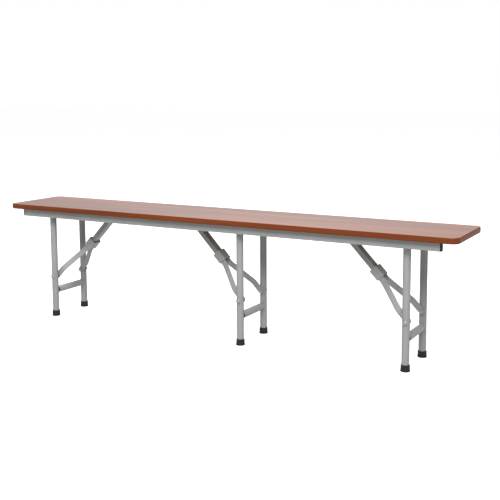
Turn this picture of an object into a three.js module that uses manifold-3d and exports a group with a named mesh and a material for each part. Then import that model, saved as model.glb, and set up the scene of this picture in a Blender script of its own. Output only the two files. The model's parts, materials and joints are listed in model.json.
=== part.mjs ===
// Folding bench: a laminated seat board on two steel rails, carried by three leg sets that fold flat.
// Millimetres, +Z up, X along the bench, the front toward -Y, the origin on the floor below the middle.
import * as THREE from "three";
import { mergeVertices } from "three/addons/utils/BufferGeometryUtils.js";
import Module from "manifold-3d";

const wasm = await Module();
wasm.setup();

// Seat board: a core between a top laminate and a backing sheet, with a rounded band round its edge
const seatLength = 1800;
const seatWidth = 285;
const seatHeight = 446;
const seatCornerRadius = 27;
const bandThickness = 3;
const bandHeight = 19;
const bandRounding = 2.5;
const laminateThickness = 0.8;

// Rails: rectangular tubes under the board, with a plastic cap in each end
const railWidth = 20;
const railHeight = 28;
const railWall = 1.5;
const railCornerRadius = 3;
const railInset = 18.5;
const railEndInset = 56;
const railScrewCount = 5;
const railScrewHole = 5.5;
const railAccessHole = 11;
const capThickness = 3;
const capRounding = 1;
const capPlugLength = 14;
const capPlugWall = 2;

// Gaps between pieces that are glued or seated, and between those that move, and how far a cut runs on
const seatGap = 0.1;
const fitGap = 0.3;
const overrun = 2;

// Leg sets: where each stands, and how far it swings when it folds under the board
const endSetInset = 174.5;
const middleSetOffset = 124;
const foldAngle = THREE.MathUtils.degToRad(89);

// Legs, stretcher and feet
const legDiameter = 25;
const legWall = 1.5;
const legEndClearance = 0.2;
const stretcherDiameter = 25;
const stretcherWall = 1.5;
const stretcherHeight = 104;
const footHeight = 22;
const footTopDiameter = 29;
const footBottomDiameter = 32;
const footSole = 3.5;
const footRim = 3;
const footRounding = 0.8;

// Leg axle: a rod through both leg tops into the rails, with a collar that spaces each leg from its rail
const pivotDrop = 13.5;
const axleDiameter = 10;
const axleCollarDiameter = 18;
const legRailSpace = 6.5;
const axleEndReach = 3;

// Brace: a rectangular tube from the hinge under the board down to the joint
const hingeDrop = 16;
const braceReach = 240;
const braceFoldedTilt = THREE.MathUtils.degToRad(2);
const braceWidth = 30;
const braceDepth = 20;
const braceWall = 1.5;
const braceCornerRadius = 3;
const braceTail = 14;
const braceHead = 7;

// Brace arms: flat bars on both sides of the joint, bent outwards to the legs
const armPinHeight = 159;
const armWidth = 22;
const armThickness = 2.5;
const armLegGap = 1.55;
const armLowStraight = 45;
const armHighStraight = 36;
const armBend = 9;

// Arm bolts with their washers and nuts, the joint rivet and the hinge pin
const boltDiameter = 8;
const boltHeadDiameter = 16;
const boltHeadHeight = 5.4;
const boltEndLength = 3.5;
const washerDiameter = 18;
const nutDiameter = 17;
const nutThickness = 7;
const rivetDiameter = 8;
const rivetHeadDiameter = 14;
const rivetHeadHeight = 1;
const hingePinDiameter = 8;
const hingeHeadDiameter = 13;
const hingeHeadHeight = 1.6;

// Lock sleeve: a rectangular collar round the joint, which slides up the brace
const sleeveLength = 40;
const sleeveDepth = 32;
const sleeveWall = 1.8;
const sleeveCornerRadius = 4;
const sleeveSideGap = 0.4;

// Brace bracket: a plate under the board with an ear on each side of the brace
const bracketWall = 2.5;
const bracketLength = 46;
const bracketEarWidth = 24;
const bracketCornerRadius = 4;
const bracketScrewSpacing = 32;
const bracketScrewPitch = 18;
const bracketScrewHead = 8;
const bracketScrewHeight = 1.8;

// Domed heads: the shares of the height that is straight rim, and of the radius where the crown turns
const headRim = 1 / 3;
const headCrown = 0.9;

// Facets: sides of a round bar, a small pin and a screw, and steps of a rounding, a head and a bend
const barSides = 20;
const pinSides = 12;
const screwSides = 10;
const nutSides = 6;
const cornerSteps = 1;
const bandSteps = 2;
const headSteps = 2;
const bendSteps = 3;

// Finishes as the photograph shows them
const finishes = {
  laminate: { color: 0xa8704f, roughness: 0.45, metalness: 0 },
  edgeBand: { color: 0x9a4f2c, roughness: 0.5, metalness: 0 },
  board: { color: 0xb08a5c, roughness: 0.9, metalness: 0 },
  backing: { color: 0x8a6a4c, roughness: 0.8, metalness: 0 },
  paintedSteel: { color: 0xa9abaa, roughness: 0.45, metalness: 0.35 },
  zincSteel: { color: 0x9fa1a2, roughness: 0.35, metalness: 0.8 },
  blackPlastic: { color: 0x1c1c1d, roughness: 0.6, metalness: 0 },
  blackRubber: { color: 0x151516, roughness: 0.85, metalness: 0 },
};

// Places worked out from the sizes above
const undersideZ = seatHeight - bandHeight;
const railY = seatWidth / 2 - railInset - railWidth / 2;
const railInnerY = railY - railWidth / 2;
const railZ = undersideZ - seatGap - railHeight / 2;
const railLength = seatLength - 2 * (railEndInset + capThickness + seatGap);
const endSetX = seatLength / 2 - endSetInset;
const legRadius = legDiameter / 2;
const legY = railInnerY - legRailSpace - legRadius;
const legInnerY = legY - legRadius;
const pivotZ = undersideZ - pivotDrop;
const legEndRadius = pivotDrop - legEndClearance;
const hingeZ = undersideZ - hingeDrop;
const armLegY = legInnerY - armLegGap - armThickness / 2;
const armJointY = braceWidth / 2 + fitGap + armThickness / 2;

const xAxis = new THREE.Vector3(1, 0, 0);
const yAxis = new THREE.Vector3(0, 1, 0);
const zAxis = new THREE.Vector3(0, 0, 1);

// The brace and arms lie on one line from the arm bolt to the hinge. The joint divides that line so that
// the pieces meet again when the leg lies folded and the brace points from the hinge at its folded tilt.
function brokenLink() {
  const armPin = new THREE.Vector2(0, armPinHeight);
  const hinge = new THREE.Vector2(braceReach, hingeZ);
  const line = hinge.clone().sub(armPin);
  const legArm = pivotZ - armPinHeight;
  const foldedPin = new THREE.Vector2(Math.sin(foldAngle), -Math.cos(foldAngle)).multiplyScalar(legArm);
  foldedPin.y += pivotZ;
  const apart = hinge.clone().sub(foldedPin);
  const foldedBrace = new THREE.Vector2(-Math.cos(braceFoldedTilt), -Math.sin(braceFoldedTilt));
  const whole = line.length();
  const upper = (whole * whole - apart.lengthSq()) / (2 * (whole + foldedBrace.dot(apart)));
  return { hinge, angle: line.angle(), upper, lower: whole - upper };
}
const link = brokenLink();

// Turns a closed three.js geometry into a solid: equal corners merged, collapsed triangles left out.
function solid(geometry) {
  const bare = new THREE.BufferGeometry();
  bare.setAttribute("position", geometry.getAttribute("position"));
  bare.setIndex(geometry.index);
  const merged = mergeVertices(bare);
  const index = merged.index.array;
  const kept = [];
  for (let i = 0; i < index.length; i += 3) {
    const [a, b, c] = index.subarray(i, i + 3);
    if (a !== b && b !== c && c !== a) kept.push(a, b, c);
  }
  const vertProperties = new Float32Array(merged.attributes.position.array);
  const triVerts = new Uint32Array(kept);
  return new wasm.Manifold(new wasm.Mesh({ numProp: 3, vertProperties, triVerts }));
}

// Turns a solid back into a three.js geometry with flat faces.
function geometryOf(body) {
  const mesh = body.getMesh();
  const shared = new THREE.BufferGeometry();
  shared.setAttribute("position", new THREE.BufferAttribute(mesh.vertProperties, mesh.numProp));
  shared.setIndex(new THREE.BufferAttribute(mesh.triVerts, 1));
  const geometry = shared.toNonIndexed();
  geometry.computeVertexNormals();
  return geometry;
}

// Extrudes a shape, centred on its depth, with the shape's own axes laid along the two given ones.
function prism(shape, depth, across, up, curveSegments = cornerSteps) {
  const geometry = new THREE.ExtrudeGeometry(shape, { depth, bevelEnabled: false, curveSegments });
  geometry.translate(0, 0, -depth / 2);
  const along = new THREE.Vector3().crossVectors(across, up);
  return solid(geometry.applyMatrix4(new THREE.Matrix4().makeBasis(across, up, along)));
}

// A round bar along Y between two places, or along Z from the floor up.
function barAlongY(diameter, from, to, sides = pinSides) {
  const geometry = new THREE.CylinderGeometry(diameter / 2, diameter / 2, Math.abs(to - from), sides);
  return solid(geometry.translate(0, (from + to) / 2, 0));
}

function barAlongZ(diameter, from, to, sides = pinSides) {
  const geometry = new THREE.CylinderGeometry(diameter / 2, diameter / 2, to - from, sides);
  return solid(geometry.rotateX(Math.PI / 2).translate(0, 0, (from + to) / 2));
}

function roundedRectangle(width, height, radius, PathType = THREE.Shape) {
  const [w, h] = [width / 2, height / 2];
  const path = new PathType();
  path.moveTo(radius - w, -h);
  path.absarc(w - radius, radius - h, radius, -Math.PI / 2, 0);
  path.absarc(w - radius, h - radius, radius, 0, Math.PI / 2);
  path.absarc(radius - w, h - radius, radius, Math.PI / 2, Math.PI);
  path.absarc(radius - w, radius - h, radius, Math.PI, Math.PI * 1.5);
  return path;
}

// The section of a rectangular tube, with its bore as a hole.
function tubeSection(width, height, wall, radius) {
  const section = roundedRectangle(width, height, radius);
  const boreRadius = Math.max(radius - wall, radius / 2);
  section.holes.push(roundedRectangle(width - 2 * wall, height - 2 * wall, boreRadius, THREE.Path));
  return section;
}

// A bar's outline with a half round at each end, from x = 0 to x = length between the centres.
function slotOutline(length, radius) {
  const outline = new THREE.Shape();
  outline.absarc(0, 0, radius, Math.PI / 2, Math.PI * 1.5);
  outline.absarc(length, 0, radius, -Math.PI / 2, Math.PI / 2);
  return outline;
}

// A dome or pan head: a revolved profile that stands on y = 0 and rises toward +Y.
function roundHead(diameter, height, sides = pinSides) {
  const r = diameter / 2;
  const profile = new THREE.Path();
  profile.moveTo(0, 0);
  profile.lineTo(r, 0);
  profile.lineTo(r, height * headRim);
  profile.quadraticCurveTo(r * headCrown, height, 0, height);
  return solid(new THREE.LatheGeometry(profile.getPoints(headSteps), sides));
}

function addPiece(group, name, body, finish) {
  const mesh = new THREE.Mesh(geometryOf(body), new THREE.MeshStandardMaterial(finishes[finish]));
  mesh.name = name;
  group.add(mesh);
  return mesh;
}

function seatPlan(inset) {
  return roundedRectangle(seatLength - 2 * inset, seatWidth - 2 * inset, seatCornerRadius - inset);
}

function sheet(inset, thickness) {
  return prism(seatPlan(inset), thickness, xAxis, yAxis, bendSteps);
}

function edgeBand() {
  const rounded = new THREE.ExtrudeGeometry(seatPlan(0), {
    depth: bandHeight - 2 * bandRounding,
    bevelThickness: bandRounding,
    bevelSize: bandRounding,
    bevelOffset: -bandRounding,
    bevelSegments: bandSteps,
    curveSegments: bendSteps,
  });
  rounded.translate(0, 0, bandRounding - bandHeight / 2);
  return solid(rounded).subtract(sheet(bandThickness, bandHeight + overrun));
}

function addSeat(bench) {
  const coreThickness = bandHeight - 2 * (laminateThickness + seatGap);
  const inset = bandThickness + seatGap;
  const middleZ = undersideZ + bandHeight / 2;
  const skinOffset = (bandHeight - laminateThickness) / 2;
  const skin = sheet(inset, laminateThickness);
  addPiece(bench, "seat_core", sheet(inset, coreThickness), "board").position.z = middleZ;
  addPiece(bench, "seat_laminate", skin, "laminate").position.z = middleZ + skinOffset;
  addPiece(bench, "seat_backing", skin, "backing").position.z = middleZ - skinOffset;
  addPiece(bench, "seat_edge_band", edgeBand(), "edgeBand").position.z = middleZ;
}

// One rail about its own middle, with its inner wall toward the given side: bores for the three axles,
// and screw holes in its top wall, each under a wider hole that lets the driver in from below.
function rail(innerSide) {
  const section = tubeSection(railWidth, railHeight, railWall, railCornerRadius);
  let body = prism(section, railLength, yAxis, zAxis);
  const wallFrom = innerSide * (railWidth / 2 + overrun);
  const wallTo = innerSide * (railWidth / 2 - railWall - overrun);
  for (const x of [-endSetX, middleSetOffset, endSetX]) {
    const bore = barAlongY(axleDiameter + 2 * fitGap, wallFrom, wallTo);
    body = body.subtract(bore.translate(x, 0, pivotZ - railZ));
  }
  for (let i = 0; i < railScrewCount; i += 1) {
    const x = ((i + 0.5) / railScrewCount - 0.5) * railLength;
    const screwHole = barAlongZ(railScrewHole, 0, railHeight);
    const accessHole = barAlongZ(railAccessHole, -railHeight, 0);
    body = body.subtract(screwHole.translate(x, 0, 0)).subtract(accessHole.translate(x, 0, 0));
  }
  return body;
}

// A rail's end cap: a plate over the tube's end, toward +X, and a hollow plug that fits its bore.
function railCap() {
  const plate = new THREE.ExtrudeGeometry(roundedRectangle(railWidth, railHeight, railCornerRadius), {
    depth: capThickness - 2 * capRounding,
    bevelThickness: capRounding,
    bevelSize: capRounding,
    bevelOffset: -capRounding,
    bevelSegments: cornerSteps,
    curveSegments: cornerSteps,
  });
  plate.translate(0, 0, capRounding);
  plate.applyMatrix4(new THREE.Matrix4().makeBasis(yAxis, zAxis, xAxis));
  const bore = 2 * (railWall + fitGap);
  const plugSection = tubeSection(railWidth - bore, railHeight - bore, capPlugWall, railCornerRadius / 2);
  const plug = prism(plugSection, capPlugLength, yAxis, zAxis);
  return solid(plate).add(plug.translate(capRounding - capPlugLength / 2, 0, 0));
}

function addRails(bench) {
  for (const [name, side] of [["front", -1], ["rear", 1]]) {
    addPiece(bench, "rail_" + name, rail(-side), "paintedSteel").position.set(0, side * railY, railZ);
    for (const [end, direction] of [["left", -1], ["right", 1]]) {
      const cap = addPiece(bench, "rail_cap_" + name + "_" + end, railCap(), "blackPlastic");
      cap.position.set(direction * (railLength / 2 + seatGap), side * railY, railZ);
      cap.rotation.z = direction > 0 ? 0 : Math.PI;
    }
  }
}

// A leg about its own axis: a tube whose top is rounded about the axle, so that it turns under the board.
function leg() {
  const bottom = footSole + fitGap;
  const top = pivotZ + legEndRadius;
  const tube = barAlongZ(legDiameter, bottom, top, barSides);
  const bore = barAlongZ(legDiameter - 2 * legWall, bottom - overrun, top + overrun, barSides);
  const outline = new THREE.Shape();
  outline.moveTo(-legEndRadius, bottom - overrun);
  outline.lineTo(legEndRadius, bottom - overrun);
  outline.absarc(0, pivotZ, legEndRadius, 0, Math.PI);
  const axleHole = barAlongY(axleDiameter + 2 * fitGap, -legDiameter, legDiameter);
  const boltHole = barAlongY(boltDiameter + 2 * fitGap, -legDiameter, legDiameter);
  return tube
    .subtract(bore)
    .intersect(prism(outline, 2 * legDiameter, xAxis, zAxis, bendSteps))
    .subtract(axleHole.translate(0, 0, pivotZ))
    .subtract(boltHole.translate(0, 0, armPinHeight));
}

// The tube between the two legs, cut square, so its ends stay open beside the round legs.
function stretcher() {
  const end = legInnerY - fitGap;
  const bore = barAlongY(stretcherDiameter - 2 * stretcherWall, -end - overrun, end + overrun, barSides);
  return barAlongY(stretcherDiameter, -end, end, barSides).subtract(bore);
}

// A rubber foot: a revolved cup round the leg's end, widening to a rim on the floor.
function foot() {
  const boreRadius = legRadius + seatGap;
  const floorRadius = footBottomDiameter / 2;
  const topRadius = footTopDiameter / 2;
  const profile = [
    [0, 0],
    [floorRadius - footRounding, 0],
    [floorRadius, footRounding],
    [floorRadius, footRim],
    [floorRadius - footRounding, footRim + footRounding],
    [topRadius, footHeight - footRounding],
    [topRadius - footRounding, footHeight],
    [boreRadius, footHeight],
    [boreRadius, footSole],
    [0, footSole],
  ].map(([radius, height]) => new THREE.Vector2(radius, height));
  return solid(new THREE.LatheGeometry(profile, barSides).rotateX(Math.PI / 2));
}

// The rod that both legs turn on, with a collar between each leg and its rail.
function legAxle() {
  const end = railInnerY + axleEndReach;
  const collarFrom = legY + legRadius + fitGap;
  const collarTo = railInnerY - fitGap;
  return barAlongY(axleDiameter, -end, end)
    .add(barAlongY(axleCollarDiameter, collarFrom, collarTo))
    .add(barAlongY(axleCollarDiameter, -collarTo, -collarFrom));
}

// The bolt through a leg: its domed head on the outside, toward +Y, its shank flush with the inside.
function armBolt() {
  const headFrom = legRadius + seatGap;
  const head = roundHead(boltHeadDiameter, boltHeadHeight).translate(0, headFrom, 0);
  return barAlongY(boltDiameter, -legRadius, headFrom + boltHeadHeight * headRim).add(head);
}

// A rivet or pin across Y with a head at each end.
function headedPin(diameter, reach, headDiameter, headHeight) {
  const head = roundHead(headDiameter, headHeight).translate(0, reach, 0);
  const shank = barAlongY(diameter, -reach - headHeight * headRim, reach + headHeight * headRim);
  return shank.add(head).add(head.rotate([0, 0, 180]));
}

// The outline of a strip of even thickness along a path.
function stripOutline(path, thickness) {
  const points = path.getPoints(bendSteps);
  const offset = (sign) =>
    points.map((point, i) => {
      const before = points[Math.max(i - 1, 0)];
      const after = points[Math.min(i + 1, points.length - 1)];
      const along = after.clone().sub(before).normalize();
      return new THREE.Vector2(-along.y, along.x).multiplyScalar((sign * thickness) / 2).add(point);
    });
  return new THREE.Shape([...offset(1), ...offset(-1).reverse()]);
}

// One brace arm, from the arm bolt at the origin to the joint along +X: a flat bar that lies beside the
// leg, leans in and then lies beside the brace, with a washer, a nut and the bolt's end at the leg.
function braceArm(side) {
  const legSide = new THREE.Vector2(armLowStraight, side * armLegY);
  const jointSide = new THREE.Vector2(link.lower - armHighStraight, side * armJointY);
  const lean = jointSide.clone().sub(legSide).setLength(armBend);
  const lowEnd = legSide.clone().add(lean);
  const highStart = jointSide.clone().sub(lean);
  const path = new THREE.Path();
  path.moveTo(-armWidth, legSide.y);
  path.lineTo(legSide.x - armBend, legSide.y);
  path.quadraticCurveTo(legSide.x, legSide.y, lowEnd.x, lowEnd.y);
  path.lineTo(highStart.x, highStart.y);
  path.quadraticCurveTo(jointSide.x, jointSide.y, jointSide.x + armBend, jointSide.y);
  path.lineTo(link.lower + armWidth, jointSide.y);
  const strip = prism(stripOutline(path, armThickness), armWidth + 2 * overrun, xAxis, yAxis);
  const outline = prism(slotOutline(link.lower, armWidth / 2), 2 * legY, xAxis, zAxis, bendSteps);
  const rivetHole = barAlongY(rivetDiameter + 2 * fitGap, -legY, legY).translate(link.lower, 0, 0);

  const washerFace = side * (legInnerY - fitGap);
  const nutFace = side * (armLegY - armThickness / 2 - nutThickness);
  const boltEnd = nutFace - side * boltEndLength;
  return strip
    .intersect(outline)
    .subtract(rivetHole)
    .add(barAlongY(washerDiameter, legSide.y, washerFace))
    .add(barAlongY(nutDiameter, nutFace, legSide.y, nutSides))
    .add(barAlongY(boltDiameter, boltEnd, washerFace));
}

// The brace along +X from the arm bolt's line, bored for the joint rivet and for the hinge pin.
function brace() {
  const from = link.lower - braceTail;
  const to = link.lower + link.upper + braceHead;
  const section = tubeSection(braceWidth, braceDepth, braceWall, braceCornerRadius);
  const rivetHole = barAlongY(rivetDiameter + 2 * fitGap, -braceWidth, braceWidth);
  const pinHole = barAlongY(hingePinDiameter + 2 * fitGap, -braceWidth, braceWidth);
  return prism(section, to - from, yAxis, zAxis)
    .translate((from + to) / 2, 0, 0)
    .subtract(rivetHole.translate(link.lower, 0, 0))
    .subtract(pinHole.translate(link.lower + link.upper, 0, 0));
}

function lockSleeve() {
  const innerHalf = armJointY + armThickness / 2 + seatGap + rivetHeadHeight + sleeveSideGap;
  const section = tubeSection(2 * (innerHalf + sleeveWall), sleeveDepth, sleeveWall, sleeveCornerRadius);
  return prism(section, sleeveLength, yAxis, zAxis);
}

// The bracket about the hinge: a plate against the board, its four screws, and a rounded ear on each side
// of the brace.
function braceBracket() {
  const top = hingeDrop - seatGap;
  const earRadius = bracketEarWidth / 2;
  const earY = braceWidth / 2 + fitGap + bracketWall / 2;
  const plan = roundedRectangle(bracketLength, 2 * earY + bracketWall, bracketCornerRadius);
  let body = prism(plan, bracketWall, xAxis, yAxis).translate(0, 0, top - bracketWall / 2);
  const ear = new THREE.Shape();
  ear.moveTo(earRadius, top - bracketWall / 2);
  ear.lineTo(-earRadius, top - bracketWall / 2);
  ear.absarc(0, 0, earRadius, Math.PI, 2 * Math.PI);
  const head = roundHead(bracketScrewHead, bracketScrewHeight + bracketWall / 2, screwSides);
  const screw = head.rotate([-90, 0, 0]);
  for (const side of [-1, 1]) {
    body = body.add(prism(ear, bracketWall, xAxis, zAxis, bendSteps).translate(0, side * earY, 0));
    for (const end of [-1, 1]) {
      const [x, y] = [(end * bracketScrewSpacing) / 2, (side * bracketScrewPitch) / 2];
      body = body.add(screw.translate(x, y, top - bracketWall / 2));
    }
  }
  return body.subtract(barAlongY(hingePinDiameter + 2 * fitGap, -braceWidth, braceWidth));
}

// A leg set whose brace rises toward +X, turned half round where it folds the other way.
function legSet(name, x, turned) {
  const set = new THREE.Group();
  set.position.x = x;
  set.rotation.z = turned ? Math.PI : 0;
  const linkFrame = new THREE.Group();
  linkFrame.position.z = armPinHeight;
  linkFrame.rotation.y = -link.angle;
  set.add(linkFrame);

  for (const side of [-1, 1]) {
    const place = side * (turned ? -1 : 1) < 0 ? "front" : "rear";
    addPiece(set, name + "_leg_" + place, leg(), "paintedSteel").position.y = side * legY;
    addPiece(set, name + "_foot_" + place, foot(), "blackRubber").position.y = side * legY;
    const bolt = addPiece(set, name + "_arm_bolt_" + place, armBolt(), "zincSteel");
    bolt.position.set(0, side * legY, armPinHeight);
    bolt.rotation.z = side > 0 ? 0 : Math.PI;
    addPiece(linkFrame, name + "_arm_" + place, braceArm(side), "paintedSteel");
  }
  addPiece(set, name + "_stretcher", stretcher(), "paintedSteel").position.z = stretcherHeight;
  addPiece(set, name + "_axle", legAxle(), "zincSteel").position.z = pivotZ;
  addPiece(linkFrame, name + "_brace", brace(), "paintedSteel");
  const rivetReach = armJointY + armThickness / 2 + seatGap;
  const rivet = headedPin(rivetDiameter, rivetReach, rivetHeadDiameter, rivetHeadHeight);
  addPiece(linkFrame, name + "_joint_rivet", rivet, "zincSteel").position.x = link.lower;
  addPiece(linkFrame, name + "_lock_sleeve", lockSleeve(), "paintedSteel").position.x = link.lower;

  const hinge = new THREE.Group();
  hinge.position.set(link.hinge.x, 0, link.hinge.y);
  set.add(hinge);
  addPiece(hinge, name + "_brace_bracket", braceBracket(), "paintedSteel");
  const pinReach = braceWidth / 2 + fitGap + bracketWall + seatGap;
  const pin = headedPin(hingePinDiameter, pinReach, hingeHeadDiameter, hingeHeadHeight);
  addPiece(hinge, name + "_hinge_pin", pin, "zincSteel");
  return set;
}

const bench = new THREE.Group();
addSeat(bench);
addRails(bench);
bench.add(legSet("left", -endSetX, false));
bench.add(legSet("middle", middleSetOffset, true));
bench.add(legSet("right", endSetX, true));

export default bench;
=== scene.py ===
"""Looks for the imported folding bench: +X along the bench, the front toward -Y, +Z up.
Shapes are made in millimetres and placed in metres, where the CAD nodes that they stand for are."""

import json
import math

import bmesh
import bpy
from mathutils import Matrix, Vector


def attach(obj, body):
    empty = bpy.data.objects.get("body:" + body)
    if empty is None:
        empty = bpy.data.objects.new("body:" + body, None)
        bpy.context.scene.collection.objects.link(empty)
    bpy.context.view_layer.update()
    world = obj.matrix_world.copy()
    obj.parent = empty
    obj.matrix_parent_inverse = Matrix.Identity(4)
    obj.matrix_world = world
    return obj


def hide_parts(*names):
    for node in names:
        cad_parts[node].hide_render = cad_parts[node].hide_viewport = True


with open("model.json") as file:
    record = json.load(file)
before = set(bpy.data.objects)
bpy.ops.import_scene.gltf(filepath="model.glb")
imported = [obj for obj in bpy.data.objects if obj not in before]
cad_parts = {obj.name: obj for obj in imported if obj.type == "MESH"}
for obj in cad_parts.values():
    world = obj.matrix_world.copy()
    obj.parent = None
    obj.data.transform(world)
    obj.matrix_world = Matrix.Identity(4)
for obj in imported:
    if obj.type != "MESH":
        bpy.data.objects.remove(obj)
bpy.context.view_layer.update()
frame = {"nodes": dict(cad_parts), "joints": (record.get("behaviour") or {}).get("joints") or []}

MM = 0.001
Y_AXIS = Vector((0, 1, 0))

# Sizes in millimetres, as in the CAD source
SEAT_LENGTH, SEAT_WIDTH, SEAT_HEIGHT, SEAT_CORNER = 1800, 285, 446, 27
BAND_THICKNESS, BAND_HEIGHT, SHEET_THICKNESS = 3, 19, 0.8
RAIL_WIDTH, RAIL_HEIGHT, RAIL_WALL, RAIL_CORNER, RAIL_INSET = 20, 28, 1.5, 3, 18.5
RAIL_END_INSET, RAIL_SCREWS, RAIL_SCREW_HOLE, RAIL_ACCESS_HOLE = 56, 5, 5.5, 11
CAP_THICKNESS, CAP_PLUG, CAP_PLUG_WALL = 3, 14, 2
SEAT_GAP, FIT_GAP = 0.1, 0.3
END_SET_INSET, MIDDLE_SET_X = 174.5, 124
LEG_DIAMETER, LEG_WALL, LEG_END_CLEARANCE, STRETCHER_HEIGHT = 25, 1.5, 0.2, 104
FOOT_HEIGHT, FOOT_TOP, FOOT_BOTTOM, FOOT_SOLE, FOOT_RIM = 22, 29, 32, 3.5, 3
PIVOT_DROP, AXLE, COLLAR, LEG_RAIL_SPACE, AXLE_REACH = 13.5, 10, 18, 6.5, 3
HINGE_DROP, BRACE_WIDTH, BRACE_DEPTH, BRACE_WALL, BRACE_CORNER = 16, 30, 20, 1.5, 3
BRACE_TAIL, BRACE_HEAD = 14, 7
ARM_PIN_HEIGHT, ARM_WIDTH, ARM_THICKNESS, ARM_LEG_GAP = 159, 22, 2.5, 1.55
ARM_LOW_STRAIGHT, ARM_HIGH_STRAIGHT, ARM_BEND = 45, 36, 9
BOLT, BOLT_HEAD, BOLT_HEAD_HEIGHT, BOLT_END = 8, 16, 5.4, 3.5
WASHER, NUT_CORNERS, NUT_HEIGHT = 18, 17, 7
RIVET, RIVET_HEAD, RIVET_HEAD_HEIGHT = 8, 14, 1
HINGE_PIN, HINGE_HEAD, HINGE_HEAD_HEIGHT = 8, 13, 1.6
SLEEVE_LENGTH, SLEEVE_DEPTH, SLEEVE_WALL, SLEEVE_CORNER, SLEEVE_SIDE_GAP = 40, 32, 1.8, 4, 0.4
BRACKET_WALL, BRACKET_LENGTH, BRACKET_EAR, BRACKET_CORNER = 2.5, 46, 24, 4
BRACKET_SCREW_X, BRACKET_SCREW_Y = 32, 18
BRACKET_SCREW_HEAD, BRACKET_SCREW_HEAD_HEIGHT = 8, 1.8

# Sizes in millimetres of what the CAD source leaves to this scene
RAIL_SCREW_HEAD, RAIL_SCREW_HEAD_HEIGHT, RAIL_SCREW_RECESS = 9, 2.4, 1.2
BRACKET_SCREW_RECESS, RIVET_HEAD_RIM, HINGE_HEAD_RIM = 1.0, 0.4, 0.5
RIM_BREAK, STRETCHER_RIM_BREAK, SLEEVE_RIM_BREAK, SHEET_EDGE_BREAK = 0.35, 0.25, 0.4, 0.25
BRACKET_ROUNDING, SMALLEST_RADIUS, BORE_MARGIN = 0.5, 0.01, 0.2

# The power of the edge band's superellipse: 1 would give an ellipse, and a small one a square section
BAND_FULLNESS = 2 / 3

# Facets: sides of a round tube, a small round and a screw, and steps of a corner, a crown and a curve
TUBE_SIDES, SMALL_SIDES, SCREW_SIDES, NUT_SIDES = 64, 40, 32, 48
CORNER_STEPS, PLAN_STEPS, BAND_STEPS, CROWN_STEPS = 6, 20, 24, 8
LEG_ARCH_STEPS, BRACKET_EAR_STEPS, ROUNDING_STEPS = 32, 28, 3
ARM_STRAIGHT_STEPS, ARM_BEND_STEPS, ARM_TIP_STEPS = 6, 14, 10

# Angles in degrees over which an edge is shaded sharp, or rounded
SHARP_ANGLE, NUT_SHARP_ANGLE, ROUNDED_ANGLE = 35, 25, 40

# Sockets of the Mix node for colours
MIX_SHARE, MIX_FIRST, MIX_SECOND, MIX_RESULT = 0, 6, 7, 2

# Places worked out from the sizes
UNDERSIDE = SEAT_HEIGHT - BAND_HEIGHT
RAIL_Y = SEAT_WIDTH / 2 - RAIL_INSET - RAIL_WIDTH / 2
RAIL_INNER_Y = RAIL_Y - RAIL_WIDTH / 2
RAIL_Z = UNDERSIDE - SEAT_GAP - RAIL_HEIGHT / 2
RAIL_LENGTH = SEAT_LENGTH - 2 * (RAIL_END_INSET + CAP_THICKNESS + SEAT_GAP)
LEG_RADIUS = LEG_DIAMETER / 2
LEG_Y = RAIL_INNER_Y - LEG_RAIL_SPACE - LEG_RADIUS
LEG_INNER_Y = LEG_Y - LEG_RADIUS
PIVOT_Z = UNDERSIDE - PIVOT_DROP
ARM_LEG_Y = LEG_INNER_Y - ARM_LEG_GAP - ARM_THICKNESS / 2
ARM_JOINT_Y = BRACE_WIDTH / 2 + FIT_GAP + ARM_THICKNESS / 2
END_SET_X = SEAT_LENGTH / 2 - END_SET_INSET
# Each leg set's place along the bench, and whether it is turned half round
SETS = {"left": (-END_SET_X, False), "middle": (MIDDLE_SET_X, True), "right": (END_SET_X, True)}


# Materials


def linear(level):
    """An eight-bit sRGB level as linear light."""
    return ((level / 255 + 0.055) / 1.055) ** 2.4 if level > 10 else level / 255 / 12.92


def colour(r, g, b):
    """A colour from its eight-bit sRGB levels."""
    return (linear(r), linear(g), linear(b), 1.0)


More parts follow.
